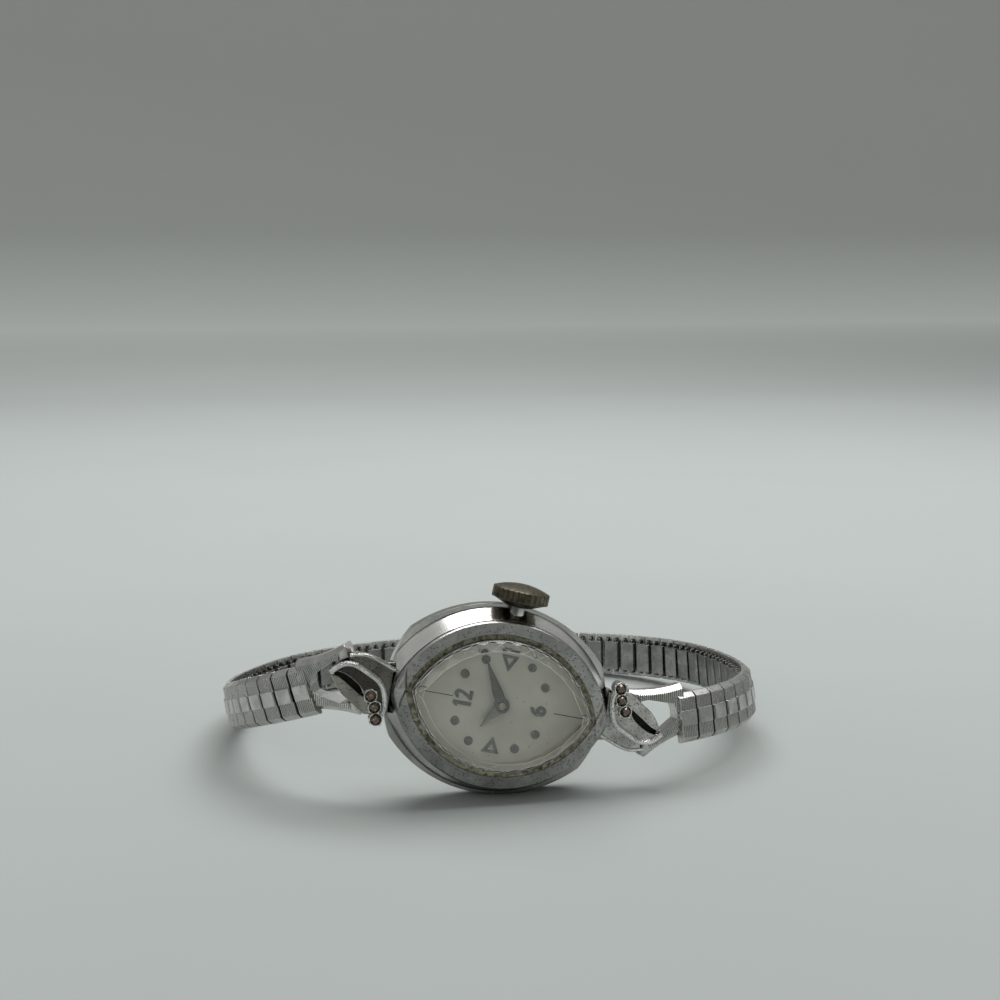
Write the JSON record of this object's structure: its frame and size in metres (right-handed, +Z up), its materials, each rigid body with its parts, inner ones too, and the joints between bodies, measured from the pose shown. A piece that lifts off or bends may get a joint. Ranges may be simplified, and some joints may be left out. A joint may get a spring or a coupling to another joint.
{
  "type": "wristwatch",
  "caption": "Hand-wound lady's wristwatch: eye-shaped case with faceted crystal, stone-set askew lugs, wound movement and expansion bracelet.",
  "frame": {"origin": "on the surface it stands on, under the middle of the whole watch", "axes": "+X from the 12 o'clock lug to the 6 o'clock lug, +Y from the dial to the back of the loop, +Z up, towards the crown"},
  "size_m": [0.0573, 0.0455, 0.0209],
  "materials": {
    "satin_case": "pitted satin",
    "bright_case": "polished",
    "back_steel": "satin",
    "crystal": "clear, faceted edge",
    "seat_brass": "tarnished",
    "lug_steel": "pitted, bright ridges",
    "stone": "faceted, aged",
    "dial_silver": "satin silver",
    "marker_dark": "gloss, bright edges",
    "hand_dark": "dark, bright edges",
    "crown_brass": "worn plating",
    "stem_steel": "turned",
    "ring_metal": "turned",
    "plate_gilt": "gilt, grained",
    "wheel_gilt": "gilt, polished",
    "part_steel": "polished",
    "spring_blue": "blued",
    "ruby": "polished",
    "link_steel": "satin tiles, ribbed rows",
    "inner_steel": "plain, darkened"
  },
  "bodies": {
    "head": {"case_middle": "bright_case", "bezel": "satin_case", "case_back": "back_steel", "crystal": "crystal", "crystal_seat": "seat_brass", "lug_12": "lug_steel", "lug_6": "lug_steel", "lug_stones": "stone", "dial": "dial_silver", "hour_markers": "marker_dark", "movement_ring": "ring_metal", "main_plate": "plate_gilt", "train_bridge": "plate_gilt", "barrel_bridge": "plate_gilt", "balance_cock": "plate_gilt", "jewels": "ruby", "bridge_screws": "spring_blue", "bar_12": "stem_steel", "bar_6": "stem_steel"},
    "centre_works": {"centre_wheel": "wheel_gilt", "cannon_pinion": "part_steel", "minute_hand": "hand_dark"},
    "hour_works": {"hour_wheel": "wheel_gilt", "hour_hand": "hand_dark"},
    "minute_works": {"minute_wheel": "wheel_gilt"},
    "barrel_works": {"barrel": "wheel_gilt", "mainspring": "spring_blue"},
    "third_works": {"third_wheel": "wheel_gilt"},
    "fourth_works": {"fourth_wheel": "wheel_gilt"},
    "escape_works": {"escape_wheel": "wheel_gilt"},
    "pallet_works": {"pallet_fork": "part_steel"},
    "balance_works": {"balance_wheel": "wheel_gilt", "hairspring": "spring_blue"},
    "winding_works": {"winding_pinion": "part_steel"},
    "crown_works": {"crown": "crown_brass", "winding_stem": "stem_steel"},
    "clutch_works": {"clutch_pinion": "part_steel"},
    "crown_wheel_works": {"crown_wheel": "part_steel"},
    "ratchet_works": {"ratchet_wheel": "part_steel"},
    "click_works": {"click": "part_steel"},
    "end_piece_12_works": {"end_piece_12": "link_steel"},
    "end_piece_6_works": {"end_piece_6": "link_steel"},
    "band_12_1": {"top_links_12_1": "link_steel", "spring_links_12_1": "inner_steel"},
    "band_12_2": {"top_links_12_2": "link_steel", "spring_links_12_2": "inner_steel"},
    "band_12_3": {"top_links_12_3": "link_steel", "spring_links_12_3": "inner_steel"},
    "band_12_4": {"top_links_12_4": "link_steel", "spring_links_12_4": "inner_steel"},
    "band_6_1": {"top_links_6_1": "link_steel", "spring_links_6_1": "inner_steel"},
    "band_6_2": {"top_links_6_2": "link_steel", "spring_links_6_2": "inner_steel"},
    "band_6_3": {"top_links_6_3": "link_steel", "spring_links_6_3": "inner_steel"},
    "band_6_4": {"top_links_6_4": "link_steel", "spring_links_6_4": "inner_steel"}
  },
  "joints": [
    {"name": "minute_turn", "type": "hinge", "parent": "head", "child": "centre_works", "pos_m": [-0.00277, -0.01784, 0.00946], "axis": [0, -0.9969, 0.0785], "continuous": true},
    {"name": "hour_turn", "type": "hinge", "parent": "head", "child": "hour_works", "pos_m": [-0.00277, -0.01784, 0.00946], "axis": [0, -0.9969, 0.0785], "continuous": true},
    {"name": "minute_wheel_turn", "type": "hinge", "parent": "head", "child": "minute_works", "pos_m": [-0.00399, -0.01775, 0.01061], "axis": [0, -0.9969, 0.0785], "continuous": true},
    {"name": "barrel_turn", "type": "hinge", "parent": "head", "child": "barrel_works", "pos_m": [-0.00008, -0.01782, 0.00977], "axis": [0, -0.9969, 0.0785], "continuous": true},
    {"name": "third_turn", "type": "hinge", "parent": "head", "child": "third_works", "pos_m": [-0.00336, -0.01804, 0.00695], "axis": [0, -0.9969, 0.0785], "continuous": true},
    {"name": "fourth_turn", "type": "hinge", "parent": "head", "child": "fourth_works", "pos_m": [-0.00529, -0.01803, 0.00707], "axis": [0, -0.9969, 0.0785], "continuous": true},
    {"name": "escape_turn", "type": "hinge", "parent": "head", "child": "escape_works", "pos_m": [-0.00518, -0.01789, 0.00882], "axis": [0, -0.9969, 0.0785], "continuous": true},
    {"name": "pallet_swing", "type": "hinge", "parent": "head", "child": "pallet_works", "pos_m": [-0.00599, -0.01781, 0.0099], "axis": [0, -0.9969, 0.0785], "range_deg": [-6, 6]},
    {"name": "balance_swing", "type": "hinge", "parent": "head", "child": "balance_works", "pos_m": [-0.0057, -0.01765, 0.01187], "axis": [0, -0.9969, 0.0785], "range_deg": [-150, 150]},
    {"name": "crown_turn", "type": "hinge", "parent": "head", "child": "winding_works", "pos_m": [-0.00091, -0.01815, 0.01729], "axis": [0.2317, 0.0763, 0.9698], "continuous": true},
    {"name": "crown_pull", "type": "slide", "parent": "winding_works", "child": "crown_works", "axis": [0.2317, 0.0763, 0.9698], "range_m": [0, 0.0006]},
    {"name": "clutch_slide", "type": "slide", "parent": "winding_works", "child": "clutch_works", "axis": [0.2317, 0.0763, 0.9698], "range_m": [-0.00048, 0]},
    {"name": "crown_wheel_turn", "type": "hinge", "parent": "head", "child": "crown_wheel_works", "pos_m": [-0.002, -0.01759, 0.01265], "axis": [0, -0.9969, 0.0785], "continuous": true},
    {"name": "ratchet_turn", "type": "hinge", "parent": "head", "child": "ratchet_works", "pos_m": [-0.00008, -0.01782, 0.00977], "axis": [0, -0.9969, 0.0785], "continuous": true},
    {"name": "click_swing", "type": "hinge", "parent": "head", "child": "click_works", "pos_m": [0.00122, -0.01763, 0.01218], "axis": [0, -0.9969, 0.0785], "range_deg": [0, 8]},
    {"name": "bar_12_hinge", "type": "hinge", "parent": "head", "child": "end_piece_12_works", "pos_m": [-0.01677, -0.01831, 0.01243], "axis": [-0.2011, 0.0769, 0.9766], "range_deg": [0, 20]},
    {"name": "band_12_1_hinge", "type": "hinge", "parent": "end_piece_12_works", "child": "band_12_1", "pos_m": [-0.02145, -0.01594, 0.01061], "axis": [-0.2604, 0.2049, 0.9435], "range_deg": [0, 12], "stiffness_Nm_per_rad": 0.002},
    {"name": "band_12_2_hinge", "type": "hinge", "parent": "band_12_1", "child": "band_12_2", "pos_m": [-0.02741, -0.00525, 0.00629], "axis": [-0.1712, 0.3028, 0.9376], "range_deg": [0, 12], "stiffness_Nm_per_rad": 0.002},
    {"name": "band_12_3_hinge", "type": "hinge", "parent": "band_12_2", "child": "band_12_3", "pos_m": [-0.02644, 0.00945, 0.00284], "axis": [-0.1014, 0.1548, 0.9827], "range_deg": [0, 12], "stiffness_Nm_per_rad": 0.002},
    {"name": "band_12_4_hinge", "type": "hinge", "parent": "band_12_3", "child": "band_12_4", "pos_m": [-0.01542, 0.01966, 0.00254], "axis": [-0.0418, 0.1048, 0.9936], "range_deg": [0, 12], "stiffness_Nm_per_rad": 0.002},
    {"name": "bar_6_hinge", "type": "hinge", "parent": "head", "child": "end_piece_6_works", "pos_m": [0.01124, -0.01877, 0.0066], "axis": [0.2011, -0.0769, -0.9766], "range_deg": [0, 20]},
    {"name": "band_6_1_hinge", "type": "hinge", "parent": "end_piece_6_works", "child": "band_6_1", "pos_m": [0.01684, -0.01823, 0.0066], "axis": [0.0535, -0.1997, -0.9784], "range_deg": [0, 12], "stiffness_Nm_per_rad": 0.002},
    {"name": "band_6_2_hinge", "type": "hinge", "parent": "band_6_1", "child": "band_6_2", "pos_m": [0.027, -0.00725, 0.00544], "axis": [0.1288, -0.1498, -0.9803], "range_deg": [0, 12], "stiffness_Nm_per_rad": 0.002},
    {"name": "band_6_3_hinge", "type": "hinge", "parent": "band_6_2", "child": "band_6_3", "pos_m": [0.02711, 0.00782, 0.00373], "axis": [0.0757, -0.0851, -0.9935], "range_deg": [0, 12], "stiffness_Nm_per_rad": 0.002},
    {"name": "band_6_4_hinge", "type": "hinge", "parent": "band_6_3", "child": "band_6_4", "pos_m": [0.01759, 0.01934, 0.00263], "axis": [-0.0063, -0.0749, -0.9972], "range_deg": [0, 12], "stiffness_Nm_per_rad": 0.002}
  ],
  "couplings": [
    {"joint": "hour_turn", "follows": "minute_turn", "ratio": 0.083333},
    {"joint": "minute_wheel_turn", "follows": "minute_turn", "ratio": -0.33333},
    {"joint": "barrel_turn", "follows": "minute_turn", "ratio": -0.17391},
    {"joint": "third_turn", "follows": "minute_turn", "ratio": -8},
    {"joint": "fourth_turn", "follows": "minute_turn", "ratio": 60},
    {"joint": "escape_turn", "follows": "minute_turn", "ratio": -600},
    {"joint": "clutch_slide", "follows": "crown_pull", "ratio": -0.8},
    {"joint": "crown_wheel_turn", "follows": "crown_turn", "ratio": 0.79167},
    {"joint": "ratchet_turn", "follows": "crown_turn", "ratio": -0.57396}
  ]
}
